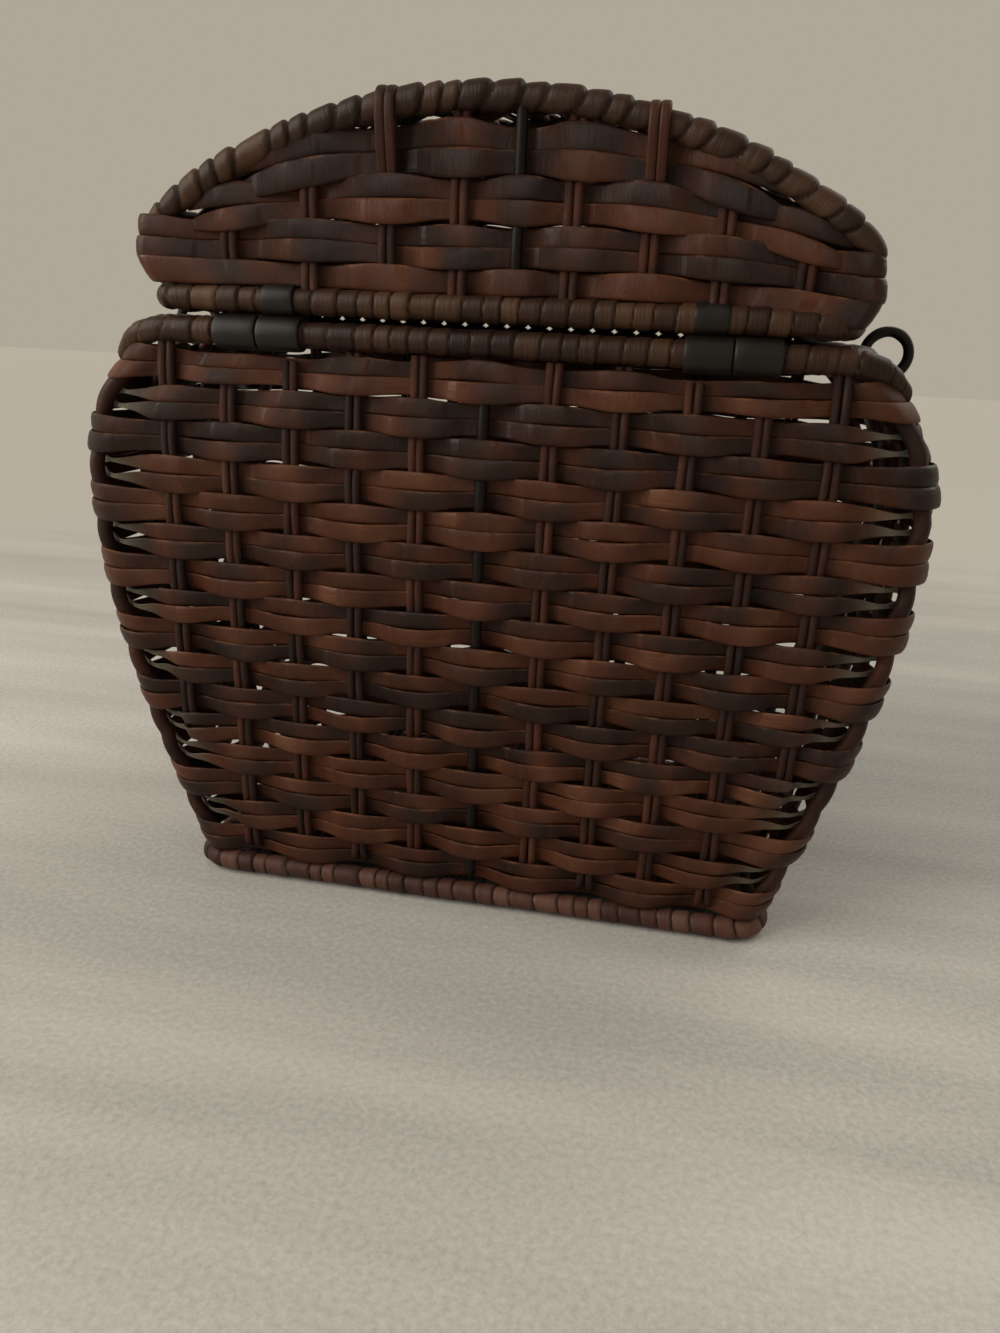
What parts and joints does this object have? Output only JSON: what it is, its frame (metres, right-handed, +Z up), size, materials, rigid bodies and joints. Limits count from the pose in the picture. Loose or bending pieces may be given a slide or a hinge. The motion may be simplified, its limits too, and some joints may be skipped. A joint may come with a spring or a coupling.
{
  "type": "lidded basket",
  "caption": "Bellied rectangular splint basket, woven round upright stakes, with an arched lid on strap hinges and a carrying ring at each end.",
  "frame": {"origin": "bottom centre of the basket, on the surface that it stands on", "axes": "+X along the long side, +Z up; the hinge side faces -Y"},
  "size_m": [0.3304, 0.1748, 0.3187],
  "materials": {
    "splint": "satin stain",
    "reed": "satin stain",
    "wrap": "satin stain",
    "black_rod": "semi-gloss black",
    "strap": "smooth black",
    "iron": "satin black"
  },
  "bodies": {
    "basket": {"wall_row_01": "splint", "wall_row_02": "splint", "wall_row_03": "splint", "wall_row_04": "splint", "wall_row_05": "splint", "wall_row_06": "splint", "wall_row_07": "splint", "wall_row_08": "splint", "wall_row_09": "splint", "wall_row_10": "splint", "wall_row_11": "splint", "wall_row_12": "splint", "wall_row_13": "splint", "wall_row_14": "splint", "wall_row_15": "splint", "wall_row_16": "splint", "base_panel": "splint", "foot_rim": "wrap", "body_rim": "wrap", "body_rim_winding": "wrap", "centre_rod": "black_rod", "corner_post_back_left": "reed", "corner_post_back_right": "reed", "corner_post_front_left": "reed", "corner_post_front_right": "reed", "end_stake_1": "reed", "end_stake_2": "reed", "end_stake_3": "reed", "end_stake_4": "reed", "stake_left_1": "reed", "stake_left_2": "reed", "stake_left_3": "reed", "stake_left_4": "reed", "stake_left_5_back": "reed", "stake_left_5_front": "reed", "stake_right_1": "reed", "stake_right_2": "reed", "stake_right_3": "reed", "stake_right_4": "reed", "stake_right_5_back": "reed", "stake_right_5_front": "reed", "ring_eye_left": "iron", "ring_eye_right": "iron"},
    "lid": {"lid_rim": "wrap", "lid_rim_winding": "wrap", "lid_arch_back": "wrap", "lid_arch_front": "wrap", "lid_back_panel": "splint", "lid_front_panel": "splint", "lid_top": "splint", "lid_end_left": "splint", "lid_end_right": "splint", "lid_back_rod": "black_rod", "lid_front_rod": "black_rod", "hinge_strap_left_inner": "strap", "hinge_strap_left_outer": "strap", "hinge_strap_right_inner": "strap", "hinge_strap_right_outer": "strap"},
    "ring_left": {"ring_left": "iron"},
    "ring_right": {"ring_right": "iron"}
  },
  "joints": [
    {"name": "lid_hinge", "type": "hinge", "parent": "basket", "child": "lid", "pos_m": [0, -0.08, 0.235], "axis": [1, 0, 0], "range_deg": [0, 115]},
    {"name": "ring_left_swing", "type": "hinge", "parent": "basket", "child": "ring_left", "pos_m": [-0.14225, 0, 0.2365], "axis": [0, 0, 1], "range_deg": [-45, 45]},
    {"name": "ring_right_swing", "type": "hinge", "parent": "basket", "child": "ring_right", "pos_m": [0.14225, 0, 0.2365], "axis": [0, 0, 1], "range_deg": [-45, 45]}
  ]
}
